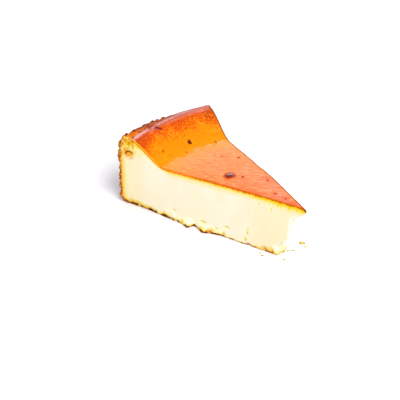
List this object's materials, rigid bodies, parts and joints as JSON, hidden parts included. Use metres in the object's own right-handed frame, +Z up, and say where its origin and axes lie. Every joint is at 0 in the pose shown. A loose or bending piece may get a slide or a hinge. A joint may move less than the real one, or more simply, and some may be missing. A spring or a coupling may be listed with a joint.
{
  "type": "slice of basque cheesecake",
  "caption": "Wedge of baked cheesecake with a raised browned rim, pale cut faces and a broken tip, lying on its flat base.",
  "frame": {"origin": "middle of the slice's bounding box, on the flat base it rests on", "axes": "+X from the outside crust towards the broken tip, +Y towards the far cut, +Z up"},
  "size_m": [0.12, 0.0662, 0.0464],
  "materials": {
    "baked_cheesecake": "pale cream curd with a soft satin cut, under a glossy orange baked skin and a thin dark brown rind"
  },
  "bodies": {
    "root": {"cheesecake_slice": "baked_cheesecake"}
  },
  "joints": []
}
